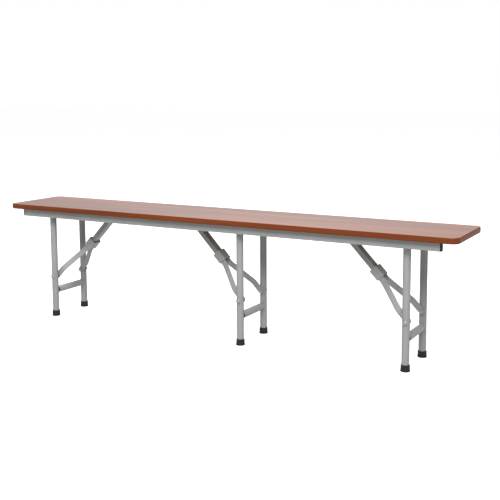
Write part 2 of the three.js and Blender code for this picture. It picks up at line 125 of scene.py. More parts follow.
class Nodes:
    """A material with its Principled shader, and short ways to add nodes to it."""

    def __init__(self, name, **settings):
        self.material = bpy.data.materials.new(name)
        self.material.use_nodes = True
        self.tree = self.material.node_tree
        self.shader = self.tree.nodes["Principled BSDF"]
        self.coordinates = self.tree.nodes.new("ShaderNodeTexCoord").outputs["Object"]
        for socket, value in settings.items():
            self.shader.inputs[socket.replace("_", " ")].default_value = value

    def add(self, kind, inputs=(), **properties):
        node = self.tree.nodes.new("ShaderNode" + kind)
        for key, value in properties.items():
            setattr(node, key, value)
        for key, value in dict(inputs).items():
            self.feed(node.inputs[key], value)
        return node

    def feed(self, socket, value):
        if isinstance(value, bpy.types.NodeSocket):
            self.tree.links.new(value, socket)
        else:
            socket.default_value = value

    def grain(self, scale, detail=3.0, stretch=(1, 1, 1), distortion=0.0):
        """A noise from 0 to 1 whose scale is in features a metre along each stretched axis."""
        mapping = self.add("Mapping", {"Vector": self.coordinates, "Scale": stretch})
        inputs = {"Vector": mapping.outputs[0], "Scale": scale, "Detail": detail, "Distortion": distortion}
        return self.add("TexNoise", inputs).outputs["Fac"]

    def ramp(self, value, stops):
        """A colour for the value, from stops of a position and a colour."""
        node = self.add("ValToRGB", {"Fac": value})
        elements = node.color_ramp.elements
        while len(elements) < len(stops):
            elements.new(0.5)
        for element, (position, shade) in zip(elements, stops):
            element.position = position
            element.color = shade
        return node.outputs["Color"]

    def span(self, value, low, high, start=0.0, end=1.0):
        """The value from start to end, mapped to low to high."""
        inputs = {"Value": value, "From Min": start, "From Max": end, "To Min": low, "To Max": high}
        return self.add("MapRange", inputs).outputs["Result"]

    def mix(self, share, first, second):
        node = self.add("Mix", data_type="RGBA")
        self.feed(node.inputs[MIX_SHARE], share)
        self.feed(node.inputs[MIX_FIRST], first)
        self.feed(node.inputs[MIX_SECOND], second)
        return node.outputs[MIX_RESULT]

    def bump(self, height, distance, strength=1.0):
        """Bumps on the surface, with their distance in metres."""
        node = self.add("Bump", {"Height": height, "Distance": distance, "Strength": strength})
        self.feed(self.shader.inputs["Normal"], node.outputs["Normal"])

    def paint(self, shade, roughness):
        self.feed(self.shader.inputs["Base Color"], shade)
        self.feed(self.shader.inputs["Roughness"], roughness)


def grey(level):
    """A grey from its linear light."""
    return (level, level, level, 1.0)


def laminate_look():
    look = Nodes("laminate", Specular_IOR_Level=0.6)
    broad = look.grain(scale=1.0, detail=6.0, stretch=(1.4, 26.0, 1.0), distortion=0.6)
    streak = look.grain(scale=1.0, detail=4.0, stretch=(5.0, 260.0, 1.0), distortion=0.2)
    pores = look.grain(scale=1.0, detail=2.0, stretch=(38.0, 1500.0, 1.0))
    greyish, middle, warm = colour(94, 58, 46), colour(115, 67, 47), colour(138, 80, 51)
    shade = look.ramp(broad, [(0.35, greyish), (0.5, middle), (0.65, warm)])
    shade = look.mix(look.span(streak, 0.0, 0.35, start=0.35, end=0.75), shade, colour(96, 55, 40))
    shade = look.mix(look.span(pores, 0.0, 0.4, start=0.62, end=0.72), shade, colour(78, 44, 32))
    look.paint(shade, roughness=look.span(streak, 0.34, 0.43))
    look.bump(pores, distance=0.00003, strength=0.5)
    return look.material


def band_look():
    look = Nodes("edge_band", Specular_IOR_Level=0.12)
    streak = look.grain(scale=1.0, detail=4.0, stretch=(5.0, 5.0, 420.0), distortion=0.2)
    broad = look.grain(scale=1.0, detail=3.0, stretch=(3.0, 3.0, 90.0))
    shade = look.ramp(broad, [(0.3, colour(108, 52, 23)), (0.7, colour(127, 64, 31))])
    shade = look.mix(look.span(streak, 0.0, 0.45, start=0.45, end=0.8), shade, colour(84, 38, 17))
    look.paint(shade, roughness=look.span(streak, 0.42, 0.54))
    look.bump(streak, distance=0.00004, strength=0.4)
    return look.material


def board_look():
    look = Nodes("board_core", Specular_IOR_Level=0.3)
    chips = look.grain(scale=420.0, detail=4.0)
    shade = look.ramp(chips, [(0.35, colour(140, 108, 70)), (0.65, colour(196, 162, 116))])
    look.paint(shade, roughness=look.span(chips, 0.8, 0.95))
    look.bump(chips, distance=0.0004)
    return look.material


def backing_look():
    look = Nodes("backing_sheet", Specular_IOR_Level=0.35)
    broad = look.grain(scale=1.0, detail=4.0, stretch=(4.0, 30.0, 1.0), distortion=0.3)
    speck = look.grain(scale=900.0, detail=3.0)
    shade = look.ramp(broad, [(0.3, colour(126, 92, 66)), (0.7, colour(146, 110, 80))])
    shade = look.mix(look.span(speck, 0.0, 0.4, start=0.5, end=0.75), shade, colour(96, 68, 50))
    look.paint(shade, roughness=look.span(speck, 0.62, 0.78))
    look.bump(speck, distance=0.00005, strength=0.5)
    return look.material


def paint_look(name, bore=0.0):
    """Silver grey powder coat. A tube along Y with a bore radius in metres is near black inside: bare steel,
    darkened further as painted shade of the hollow.
    """
    look = Nodes(name, Metallic=0.06, Specular_IOR_Level=0.1)
    cloud = look.grain(scale=9.0, detail=3.0)
    flake = look.grain(scale=2600.0, detail=2.0)
    orange_peel = look.grain(scale=700.0, detail=2.0)
    shade = look.ramp(cloud, [(0.3, colour(150, 152, 151)), (0.7, colour(162, 164, 163))])
    shade = look.mix(look.span(flake, 0.0, 0.3, start=0.4, end=0.8), shade, colour(182, 184, 183))
    # Painted shade: inside the bore the colour is near black, darker than bare steel would be, standing in
    # for the shade in the tube's hollow.
    if bore:
        across = look.add("VectorMath", {0: look.coordinates, 1: (1, 0, 1)}, operation="MULTIPLY")
        radius = look.add("VectorMath", {0: across.outputs[0]}, operation="LENGTH").outputs["Value"]
        inside = look.add("Math", {0: radius, 1: bore}, operation="LESS_THAN").outputs[0]
        shade = look.mix(inside, shade, colour(20, 20, 21))
    look.paint(shade, roughness=look.span(flake, 0.38, 0.52))
    look.bump(orange_peel, distance=0.00004, strength=0.35)
    return look.material


def zinc_look():
    look = Nodes("zinc_steel", Metallic=0.6, Specular_IOR_Level=0.3)
    cloud = look.grain(scale=160.0, detail=3.0)
    scratch = look.grain(scale=1400.0, detail=2.0)
    shade = look.ramp(cloud, [(0.3, colour(128, 130, 131)), (0.7, colour(158, 158, 155))])
    look.paint(shade, roughness=look.span(scratch, 0.28, 0.45))
    look.bump(scratch, distance=0.00002, strength=0.4)
    return look.material


def plastic_look():
    look = Nodes("black_plastic", Specular_IOR_Level=0.03)
    texture = look.grain(scale=1800.0, detail=3.0)
    shade = look.ramp(texture, [(0.3, colour(14, 14, 15)), (0.7, colour(28, 28, 29))])
    look.paint(shade, roughness=look.span(texture, 0.45, 0.62))
    look.bump(texture, distance=0.00005, strength=0.5)
    return look.material


def rubber_look():
    look = Nodes("black_rubber", Specular_IOR_Level=0.3)
    texture = look.grain(scale=1100.0, detail=4.0)
    dust = look.grain(scale=120.0, detail=4.0)
    shade = look.ramp(texture, [(0.3, colour(18, 18, 18)), (0.7, colour(32, 32, 32))])
    shade = look.mix(look.span(dust, 0.0, 0.25, start=0.5, end=0.8), shade, colour(58, 57, 55))
    look.paint(shade, roughness=look.span(texture, 0.68, 0.88))
    look.bump(texture, distance=0.00008, strength=0.6)
    return look.material


LOOKS = {
    "seat_laminate": laminate_look(),
    "edge_band": band_look(),
    "board_core": board_look(),
    "backing_sheet": backing_look(),
    "painted_steel": paint_look("painted_steel"),
    # The stretcher's paint, whose bore is painted near black as shade inside the tube.
    "bore_painted_shade": paint_look("painted_steel_shaded_bore", (LEG_RADIUS - LEG_WALL + BORE_MARGIN) * MM),
    "zinc_steel": zinc_look(),
    "black_plastic": plastic_look(),
    "black_rubber": rubber_look(),
}


# Shapes


def rounded(width, height, radius, steps=CORNER_STEPS):
    """Points round a rounded rectangle about the origin, counter-clockwise."""
    radius = max(radius, SMALLEST_RADIUS)
    w, h = width / 2 - radius, height / 2 - radius
    points = []
    for quarter, (cx, cy) in enumerate(((w, h), (-w, h), (-w, -h), (w, -h))):
        for i in range(steps + 1):
            turn = math.pi / 2 * (quarter + i / steps)
            points.append((cx + radius * math.cos(turn), cy + radius * math.sin(turn)))
    return points


def circle(radius, sides):
    turns = [2 * math.pi * (i + 0.5) / sides for i in range(sides)]
    return [(radius * math.cos(t), radius * math.sin(t)) for t in turns]


def loft(rings, around=False):
    """A mesh through rings of equally many points. Its ends are closed, or joined where it runs around."""
    bm = bmesh.new()
    loops = [[bm.verts.new(p) for p in ring] for ring in rings]
    pairs = list(zip(loops, loops[1:]))
    if around:
        pairs.append((loops[-1], loops[0]))
    for low, high in pairs:
        for i, vertex in enumerate(low):
            j = (i + 1) % len(low)
            bm.faces.new((vertex, low[j], high[j], high[i]))
    if not around:
        bm.faces.new(list(reversed(loops[0])))
        bm.faces.new(loops[-1])
    bmesh.ops.recalc_face_normals(bm, faces=bm.faces)
    mesh = bpy.data.meshes.new("shape")
    bm.to_mesh(mesh)
    bm.free()
    return mesh


def level(points, z):
    """Flat points as a ring at the height z."""
    return [(x, y, z) for x, y in points]


def turned(profile, sides=SMALL_SIDES):
    """A revolved shape about Z, from (radius, height) points with a flat small end."""
    return loft([level(circle(r, sides), z) for r, z in profile])


def tube(outer, inner, length, rim=RIM_BREAK):
    """A tube along Z, centred, from its outer and inner points, with its rims just broken."""
    half = length / 2

    def shrunk(points, by):
        span = max(max(abs(x), abs(y)) for x, y in points)
        return [(x * (1 - by / span), y * (1 - by / span)) for x, y in points]

    rings = [
        level(outer, rim - half),
        level(outer, half - rim),
        level(shrunk(outer, rim), half),
        level(shrunk(inner, -rim / 2), half),
        level(inner, half - rim),
        level(inner, rim - half),
        level(shrunk(inner, -rim / 2), -half),
        level(shrunk(outer, rim), -half),
    ]
    return loft(rings, around=True)


def moved(mesh, matrix):
    """The shape moved by a matrix, with its faces turned outward again after a mirror."""
    mesh.transform(matrix)
    if matrix.determinant() < 0:
        mesh.flip_normals()
    return mesh


def shifted(mesh, x=0.0, y=0.0, z=0.0):
    return moved(mesh, Matrix.Translation((x, y, z)))


def along_y(mesh):
    """Turns a shape so that its own Z runs along Y."""
    return moved(mesh, Matrix(((1, 0, 0, 0), (0, 0, 1, 0), (0, -1, 0, 0), (0, 0, 0, 1))))


def along_x(mesh):
    """Turns a shape so that its own X, Y and Z run along Y, Z and X."""
    return moved(mesh, Matrix(((0, 0, 1, 0), (1, 0, 0, 0), (0, 1, 0, 0), (0, 0, 0, 1))))


def rod(radius, low, high):
    return loft([level(circle(radius, SMALL_SIDES), low), level(circle(radius, SMALL_SIDES), high)])


def rod_y(radius, low, high):
    return along_y(rod(radius, low, high))


def carved(mesh, cutters=(), kept=(), joined=(), rounding=0.0):
    """The mesh with shapes cut from it, kept to, or joined on, and its sharp edges rounded."""
    scene = bpy.context.scene
    body = bpy.data.objects.new("work", mesh)
    scene.collection.objects.link(body)
    tools = []
    for operation, shapes in (("UNION", joined), ("INTERSECT", kept), ("DIFFERENCE", cutters)):
        for shape in shapes:
            tool = bpy.data.objects.new("tool", shape)
            scene.collection.objects.link(tool)
            tools.append(tool)
            modifier = body.modifiers.new(operation, "BOOLEAN")
            modifier.operation = operation
            modifier.solver = "EXACT"
            modifier.object = tool
    if rounding:
        modifier = body.modifiers.new("round", "BEVEL")
        modifier.width = rounding
        modifier.segments = ROUNDING_STEPS
        modifier.limit_method = "ANGLE"
        modifier.angle_limit = math.radians(ROUNDED_ANGLE)
    depsgraph = bpy.context.evaluated_depsgraph_get()
    result = bpy.data.meshes.new_from_object(body.evaluated_get(depsgraph))
    for thing in [body, *tools]:
        bpy.data.objects.remove(thing)
    return result


def together(*meshes):
    """Several shapes as one mesh."""
    bm = bmesh.new()
    for mesh in meshes:
        bm.from_mesh(mesh)
    joined = bpy.data.meshes.new("group")
    bm.to_mesh(joined)
    bm.free()
    return joined


def copies(mesh, offsets):
    """The shape repeated at each offset."""
    return together(*[shifted(mesh.copy(), *offset) for offset in offsets])


def finished(mesh, name, look, sharp=SHARP_ANGLE):
    """Scales a shape to metres, smooths it, and gives it its material."""
    mesh.transform(Matrix.Scale(MM, 4))
    mesh.name = name
    mesh.shade_smooth()
    mesh.set_sharp_from_angle(angle=math.radians(sharp))
    mesh.materials.clear()
    mesh.materials.append(LOOKS[look])
    mesh.update()
    return mesh


def place(name, mesh, body, matrix=None, stands_for=()):
    """Puts a finished shape where it belongs, on its body, in place of its CAD nodes."""
    piece = bpy.data.objects.new(name, mesh)
    bpy.context.scene.collection.objects.link(piece)
    if matrix is not None:
        piece.matrix_world = Matrix.Translation(matrix.translation * MM) @ matrix.to_3x3().to_4x4()
    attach(piece, body)
    if stands_for:
        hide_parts(*stands_for)


# Seat


def plan(inset):
    """The board's outline, moved inward by the inset."""
    return rounded(SEAT_LENGTH - 2 * inset, SEAT_WIDTH - 2 * inset, SEAT_CORNER - inset, PLAN_STEPS)


def seat_sheet(face_z, away):
    """A skin of the board, with its face at face_z and its edge just broken."""
    inset = BAND_THICKNESS + SEAT_GAP
    rings = [
        level(plan(inset), face_z - away * SHEET_THICKNESS),
        level(plan(inset), face_z - away * SHEET_EDGE_BREAK),
        level(plan(inset + SHEET_EDGE_BREAK), face_z),
    ]
    return loft(rings)


def band():
    """The edge band: its slightly full section, a superellipse, runs round the board's plan."""
    half = BAND_HEIGHT / 2
    section = []
    for i in range(BAND_STEPS + 1):
        turn = math.pi * i / BAND_STEPS
        rise, reach = math.cos(turn), abs(math.sin(turn))
        z = SEAT_HEIGHT - half + math.copysign(half * abs(rise) ** BAND_FULLNESS, rise)
        section.append((BAND_THICKNESS * (1 - reach**BAND_FULLNESS), z))
    return loft([level(plan(inset), z) for inset, z in section], around=True)


def add_seat():
    top = finished(seat_sheet(SEAT_HEIGHT, 1), "seat_top_sheet", "seat_laminate")
    place("seat_top_sheet", top, "seat", stands_for=["seat_laminate"])
    under = finished(seat_sheet(UNDERSIDE, -1), "seat_under_sheet", "backing_sheet")
    place("seat_under_sheet", under, "seat", stands_for=["seat_backing"])
    edge = finished(band(), "seat_edge", "edge_band")
    place("seat_edge", edge, "seat", stands_for=["seat_edge_band"])


# Rails


def rail_screw_places():
    """Where along the rail each of its screws stands."""
    return [((i + 0.5) / RAIL_SCREWS - 0.5) * RAIL_LENGTH for i in range(RAIL_SCREWS)]


def rail():
    """A rail about its own middle, with its inner wall toward +Y."""
    outer = rounded(RAIL_WIDTH, RAIL_HEIGHT, RAIL_CORNER)
    inner = rounded(RAIL_WIDTH - 2 * RAIL_WALL, RAIL_HEIGHT - 2 * RAIL_WALL, RAIL_CORNER - RAIL_WALL)
    body = along_x(tube(outer, inner, RAIL_LENGTH))
    wall = RAIL_WIDTH / 2
    cutters = []
    for x, _ in SETS.values():
        bore = rod_y(AXLE / 2 + FIT_GAP, wall - 2 * RAIL_WALL, wall + RAIL_WALL)
        cutters.append(shifted(bore, x, 0, PIVOT_Z - RAIL_Z))
    for x in rail_screw_places():
        cutters.append(shifted(rod(RAIL_SCREW_HOLE / 2, 0, RAIL_HEIGHT), x))
        cutters.append(shifted(rod(RAIL_ACCESS_HOLE / 2, -RAIL_HEIGHT, 0), x))
    return carved(body, cutters=[together(*cutters)])


def cap():
    """A rail's end cap toward +X: a plate with a shallow panel, and a hollow plug."""
    edge_break, crown, crown_steps, plug_overlap = 0.3, 1, 4, 0.5
    panel_inset, panel_floor_inset, panel_depth = 2.8, 3.2, 0.35

    def ring(inset, x):
        return level(rounded(RAIL_WIDTH - 2 * inset, RAIL_HEIGHT - 2 * inset, RAIL_CORNER - inset / 2), x)

    shoulder = CAP_THICKNESS - crown
    plate = [ring(edge_break, 0), ring(0, edge_break), ring(0, shoulder)]
    for i in range(1, crown_steps + 1):
        turn = math.pi / (2 * crown_steps) * i
        plate.append(ring(crown - crown * math.cos(turn), shoulder + crown * math.sin(turn)))
    plate += [ring(panel_inset, CAP_THICKNESS), ring(panel_floor_inset, CAP_THICKNESS - panel_depth)]
    bore = 2 * (RAIL_WALL + FIT_GAP)
    outer = rounded(RAIL_WIDTH - bore, RAIL_HEIGHT - bore, RAIL_CORNER / 2)
    hollow = bore + 2 * CAP_PLUG_WALL
    inner = rounded(RAIL_WIDTH - hollow, RAIL_HEIGHT - hollow, RAIL_CORNER / 4)
    plug = shifted(tube(outer, inner, CAP_PLUG), z=plug_overlap - CAP_PLUG / 2)
    return along_x(together(loft(plate), plug))


def cross_screw(diameter, height, recess):
    """A pan-head screw on z = 0, rising toward +Z, with a cross recess."""
    foot_share, rim_share, crown_share, smallest, tip = 0.96, 0.2, 0.88, 0.3, 0.05
    bar_length_share, bar_width_share, bar_corner, bar_steps = 0.5, 0.12, 0.1, 2
    taper_length_share, taper_width_share, overrun = 0.5, 0.6, 1
    r = diameter / 2
    profile = [(r * foot_share, 0), (r, height * rim_share)]
    for i in range(1, CROWN_STEPS + 1):
        turn = math.pi / 2 * i / CROWN_STEPS
        radius = max(r * (1 - crown_share * (1 - math.cos(turn))), smallest)
        profile.append((radius, height * (rim_share + (1 - rim_share) * math.sin(turn))))
    profile.append((tip, height))
    bar = rounded(diameter * bar_length_share, diameter * bar_width_share, bar_corner, bar_steps)
    narrow = [(x * taper_length_share, y * taper_width_share) for x, y in bar]
    bars = []
    for turn in (0, math.pi / 2):
        tapered = loft([level(narrow, height - recess), level(bar, height + overrun)])
        bars.append(moved(tapered, Matrix.Rotation(turn, 4, "Z")))
    return carved(turned(profile, SCREW_SIDES), cutters=bars)


def add_rails():
    tube_mesh = finished(rail(), "rail_tube", "painted_steel")
    cap_mesh = finished(cap(), "rail_cap", "black_plastic")
    seat_of_head = RAIL_HEIGHT / 2 - RAIL_WALL
    head = cross_screw(RAIL_SCREW_HEAD, RAIL_SCREW_HEAD_HEIGHT, RAIL_SCREW_RECESS)
    head = moved(head, Matrix.Rotation(math.pi, 4, "X"))
    heads = copies(head, [(x, 0, seat_of_head) for x in rail_screw_places()])
    screws = finished(heads, "rail_screws", "zinc_steel")
    mirror = Matrix.Diagonal((1, -1, 1, 1))
    for name, side in (("front", -1), ("rear", 1)):
        at = Matrix.Translation((0, side * RAIL_Y, RAIL_Z))
        mesh = tube_mesh if side < 0 else moved(tube_mesh.copy(), mirror)
        place(f"{name}_rail_tube", mesh, "seat", at, [f"rail_{name}"])
        place(f"{name}_rail_screws", screws, "seat", at)
        for end, direction in (("left", -1), ("right", 1)):
            spin = Matrix.Rotation(0 if direction > 0 else math.pi, 4, "Z")
            end_x = direction * (RAIL_LENGTH / 2 + SEAT_GAP)
            spot = Matrix.Translation((end_x, side * RAIL_Y, RAIL_Z)) @ spin
            place(f"{name}_{end}_cap", cap_mesh, "seat", spot, [f"rail_cap_{name}_{end}"])


# Leg sets


def round_tube(length, rim=RIM_BREAK):
    """A length of the leg's tube along Z."""
    return tube(circle(LEG_RADIUS, TUBE_SIDES), circle(LEG_RADIUS - LEG_WALL, TUBE_SIDES), length, rim)


def leg():
    """A leg about its own axis, with its top rounded about the axle."""
    overrun = 5
    bottom = FOOT_SOLE + FIT_GAP
    end_radius = PIVOT_DROP - LEG_END_CLEARANCE
    top = PIVOT_Z + end_radius
    body = shifted(round_tube(top - bottom), z=(top + bottom) / 2)
    turns = [math.pi * i / LEG_ARCH_STEPS for i in range(LEG_ARCH_STEPS + 1)]
    arch = [(end_radius * math.cos(t), PIVOT_Z + end_radius * math.sin(t)) for t in turns]
    arch += [(-end_radius, bottom - overrun), (end_radius, bottom - overrun)]
    outline = loft([[(x, -LEG_DIAMETER, z) for x, z in arch], [(x, LEG_DIAMETER, z) for x, z in arch]])
    axle_hole = shifted(rod_y(AXLE / 2 + FIT_GAP, -LEG_DIAMETER, LEG_DIAMETER), z=PIVOT_Z)
    bolt_hole = shifted(rod_y(BOLT / 2 + FIT_GAP, -LEG_DIAMETER, LEG_DIAMETER), z=ARM_PIN_HEIGHT)
    return carved(body, kept=[outline], cutters=[together(axle_hole, bolt_hole)])


def stretcher():
    return along_y(round_tube(2 * (LEG_INNER_Y - FIT_GAP), STRETCHER_RIM_BREAK))


def weld_bead(side, up):
    """A rippled bead in the corner between the stretcher's end and the round leg."""
    stations, sides, ripples, reach = 34, 10, 7, math.radians(44)
    stand_off, thickness, gap_share, ripple_share, smallest_fade = 0.2, 1.3, 0.35, 0.1, 0.02
    end = LEG_INNER_Y - FIT_GAP
    rings = []
    for i in range(stations + 1):
        share = i / stations
        turn = reach * (2 * share - 1)
        x = LEG_RADIUS * math.sin(turn)
        gap = LEG_RADIUS - math.sqrt(LEG_RADIUS**2 - x**2) + FIT_GAP
        z = (LEG_RADIUS + stand_off) * math.cos(turn)
        fade = math.sqrt(max(1 - (2 * share - 1) ** 2, smallest_fade))
        ripple = 1 + ripple_share * math.cos(share * math.pi * 2 * ripples)
        radius = (thickness + gap_share * gap) * fade * ripple
        centre = Vector((x, end + gap / 2, z))
        outward = Vector((math.sin(turn), 0, math.cos(turn)))
        ring = []
        for k in range(sides):
            angle = 2 * math.pi * k / sides
            out, along = outward * (radius * math.cos(angle)), Y_AXIS * (radius * math.sin(angle))
            ring.append(centre + out + along)
        rings.append(ring)
    return moved(loft(rings), Matrix.Diagonal((1, side, up, 1)))


def welds():
    return together(*[weld_bead(side, up) for side in (-1, 1) for up in (-1, 1)])


def foot():
    """A rubber cup with a soft rim on the floor and tread rings in its sole."""
    bore, floor_radius, top_radius = LEG_RADIUS + SEAT_GAP, FOOT_BOTTOM / 2, FOOT_TOP / 2
    centre, tread_radii, tread_depth, tread_land, tread_foot = 0.4, (3.5, 7.0, 10.5), 0.6, 0.8, 1.2
    profile = [(centre, tread_depth)]
    for r in tread_radii:
        profile += [(r - tread_foot, tread_depth), (r - tread_land, 0)]
        profile += [(r + tread_land, 0), (r + tread_foot, tread_depth)]
    # How far each point of the floor rim lies inside the widest place, and its height
    rim = [(1.6, tread_depth), (1.3, 0), (0.8, 0), (0.25, 0.25), (0, 0.8), (0, FOOT_RIM)]
    rim += [(0.25, FOOT_RIM + 0.5), (0.8, FOOT_RIM + 0.9)]
    profile += [(floor_radius - inset, z) for inset, z in rim]
    # The same for the mouth, with how far each point lies under the top
    mouth = [(-0.1, 1.2), (0, 0.7), (0.25, 0.2), (0.7, 0)]
    profile += [(top_radius - inset, FOOT_HEIGHT - drop) for inset, drop in mouth]
    profile += [(bore, FOOT_HEIGHT), (bore, FOOT_SOLE), (centre, FOOT_SOLE)]
    return turned(profile, TUBE_SIDES)


def double_ended(half):
    """A revolved shape along Y from one half of its profile, mirrored at the middle."""
    return along_y(turned([(radius, -y) for radius, y in reversed(half)] + half))


def axle():
    """The rod between the rails, with a spacer collar beyond each leg."""
    collar_break, end_break = 0.4, 0.6
    end = RAIL_INNER_Y + AXLE_REACH
    low, high = LEG_Y + LEG_RADIUS + FIT_GAP, RAIL_INNER_Y - FIT_GAP
    r, collar = AXLE / 2, COLLAR / 2
    half = [(r, low), (collar - collar_break, low), (collar, low + collar_break)]
    half += [(collar, high - collar_break), (collar - collar_break, high), (r, high)]
    half += [(r, end - end_break), (r - end_break, end)]
    return double_ended(half)


def dome(radius, height, rim, start):
    """Profile points of a domed head that stands on start: a rim, then a crown."""
    rim_break, tip = 0.3, 0.1
    points = [(radius - rim_break, start), (radius, start + rim_break), (radius, start + rim)]
    for i in range(1, CROWN_STEPS + 1):
        turn = math.pi / 2 * i / CROWN_STEPS
        points.append((max(radius * math.cos(turn), tip), start + rim + (height - rim) * math.sin(turn)))
    return points


def arm_bolt():
    """The bolt through a leg, with its domed head toward +Y."""
    start = LEG_RADIUS + SEAT_GAP
    profile = [(BOLT / 2, -LEG_RADIUS), (BOLT / 2, start)]
    profile += dome(BOLT_HEAD / 2, BOLT_HEAD_HEIGHT, BOLT_HEAD_HEIGHT / 3, start)
    return along_y(turned(profile))


def two_headed(diameter, reach, head, height, rim):
    """A pin along Y with a domed head on each end."""
    return double_ended([(diameter / 2, reach)] + dome(head / 2, height, rim, reach))


def arm_path():
    """Points of an arm's middle line, from tip to tip."""
    leg_side = Vector((ARM_LOW_STRAIGHT, ARM_LEG_Y))
    joint_side = Vector((LOWER - ARM_HIGH_STRAIGHT, ARM_JOINT_Y))
    lean = (joint_side - leg_side).normalized() * ARM_BEND
    tip = ARM_WIDTH / 2

    def straight(a, b):
        return [a.lerp(b, i / ARM_STRAIGHT_STEPS) for i in range(ARM_STRAIGHT_STEPS)]

    def bend(a, corner, b):
        points = []
        for i in range(ARM_BEND_STEPS):
            t = i / ARM_BEND_STEPS
            points.append(a * (1 - t) ** 2 + corner * (2 * t * (1 - t)) + b * t * t)
        return points

    def rounding(start, towards):
        """Closer and closer places toward a round tip."""
        turns = [math.pi / 2 * i / ARM_TIP_STEPS for i in range(1, ARM_TIP_STEPS + 1)]
        return [start + towards * (tip * math.sin(t)) for t in turns]

    low, high = Vector((0, leg_side.y)), Vector((LOWER, joint_side.y))
    before_bend, after_bend = leg_side - Vector((ARM_BEND, 0)), joint_side + Vector((ARM_BEND, 0))
    points = list(reversed(rounding(low, Vector((-1, 0)))))
    points += straight(low, before_bend)
    points += bend(before_bend, leg_side, leg_side + lean)
    points += straight(leg_side + lean, joint_side - lean)
    points += bend(joint_side - lean, joint_side, after_bend)
    points += straight(after_bend, high)
    points += [high] + rounding(high, Vector((1, 0)))
    return points


def arm(side):
    """A flat bar with rounded edges along its path, bored at the joint."""
    edge_rounding, edge_share, edge_steps, smallest_square = 0.6, 0.9, 3, 0.04
    points = arm_path()
    radius = ARM_WIDTH / 2
    rings = []
    for i, point in enumerate(points):
        before, after = points[max(i - 1, 0)], points[min(i + 1, len(points) - 1)]
        along = (after - before).normalized()
        across = Vector((-along.y, along.x))
        beyond = max(-point.x, point.x - LOWER, 0)
        half = math.sqrt(max(radius**2 - beyond**2, smallest_square))
        section = rounded(ARM_THICKNESS, 2 * half, min(edge_rounding, half * edge_share), edge_steps)
        rings.append([(point.x + across.x * a, point.y + across.y * a, b) for a, b in section])
    bar = carved(loft(rings), cutters=[shifted(rod_y(RIVET / 2 + FIT_GAP, 0, LEG_Y), LOWER)])
    return moved(bar, Matrix.Diagonal((1, side, 1, 1)))


def washer():
    """The washer between an arm and its leg."""
    centre, edge_break = 0.4, 0.2
    low, high = ARM_LEG_Y + ARM_THICKNESS / 2, LEG_INNER_Y - FIT_GAP
    r = WASHER / 2
    profile = [(centre, low), (r - edge_break, low), (r, low + edge_break)]
    profile += [(r, high - edge_break), (r - edge_break, high), (centre, high)]
    return turned(profile)


def nut(low, high):
    """A hexagon nut between two heights, with both ends chamfered."""
    land_share, chamfer = 0.96, math.radians(30)
    flats = NUT_CORNERS / 2 * math.cos(math.pi / 6)
    shape = []
    for i in range(NUT_SIDES):
        turn = 2 * math.pi * i / NUT_SIDES
        r = flats / math.cos((turn + math.pi / 6) % (math.pi / 3) - math.pi / 6)
        shape.append((math.cos(turn), math.sin(turn), r))
    land, slope = flats * land_share, math.tan(chamfer)
    rings = [
        [(c * land, s * land, low) for c, s, r in shape],
        [(c * r, s * r, low + (r - land) * slope) for c, s, r in shape],
        [(c * r, s * r, high - (r - land) * slope) for c, s, r in shape],
        [(c * land, s * land, high) for c, s, r in shape],
    ]
    return loft(rings)


def threaded_end(end, low):
    """The bolt's thread from its end to just inside the nut."""
    pitch, thread_depth, chamfer, chamfer_height, first_turn, overlap = 1.25, 0.55, 0.4, 0.35, 0.45, 1
    crest_start_share, crest_end_share = 0.4, 0.55
    crest, root = BOLT / 2, BOLT / 2 - thread_depth
    profile = [(root - chamfer, end), (root, end + chamfer_height)]
    y = end + first_turn
    while y + pitch < low:
        profile += [(root, y), (crest, y + pitch * crest_start_share)]
        profile += [(crest, y + pitch * crest_end_share), (root, y + pitch)]
        y += pitch
    profile += [(root, low + overlap)]
    return turned(profile)


def nut_and_washer(side):
    """The washer, the chamfered nut and the bolt's threaded end on an arm."""
    arm_face = ARM_LEG_Y - ARM_THICKNESS / 2
    nut_end = arm_face - NUT_HEIGHT
    shape = along_y(together(washer(), nut(nut_end, arm_face), threaded_end(nut_end - BOLT_END, nut_end)))
    return moved(shape, Matrix.Diagonal((1, side, 1, 1)))


def brace():
    """The brace along its own X, from the leg's pin, with its two holes."""
    start, end = LOWER - BRACE_TAIL, LOWER + UPPER + BRACE_HEAD
    outer = rounded(BRACE_WIDTH, BRACE_DEPTH, BRACE_CORNER)
    inner = rounded(BRACE_WIDTH - 2 * BRACE_WALL, BRACE_DEPTH - 2 * BRACE_WALL, BRACE_CORNER - BRACE_WALL)
    body = shifted(along_x(tube(outer, inner, end - start)), (start + end) / 2)
    rivet_hole = shifted(rod_y(RIVET / 2 + FIT_GAP, -BRACE_WIDTH, BRACE_WIDTH), LOWER)
    pin_hole = shifted(rod_y(HINGE_PIN / 2 + FIT_GAP, -BRACE_WIDTH, BRACE_WIDTH), LOWER + UPPER)
    return carved(body, cutters=[together(rivet_hole, pin_hole)])


def sleeve():
    """The collar that slides along the brace, about the joint."""
    half = ARM_JOINT_Y + ARM_THICKNESS / 2 + SEAT_GAP + RIVET_HEAD_HEIGHT + SLEEVE_SIDE_GAP
    outer = rounded(2 * (half + SLEEVE_WALL), SLEEVE_DEPTH, SLEEVE_CORNER)
    inner = rounded(2 * half, SLEEVE_DEPTH - 2 * SLEEVE_WALL, SLEEVE_CORNER - SLEEVE_WALL)
    return shifted(along_x(tube(outer, inner, SLEEVE_LENGTH, SLEEVE_RIM_BREAK)), LOWER)


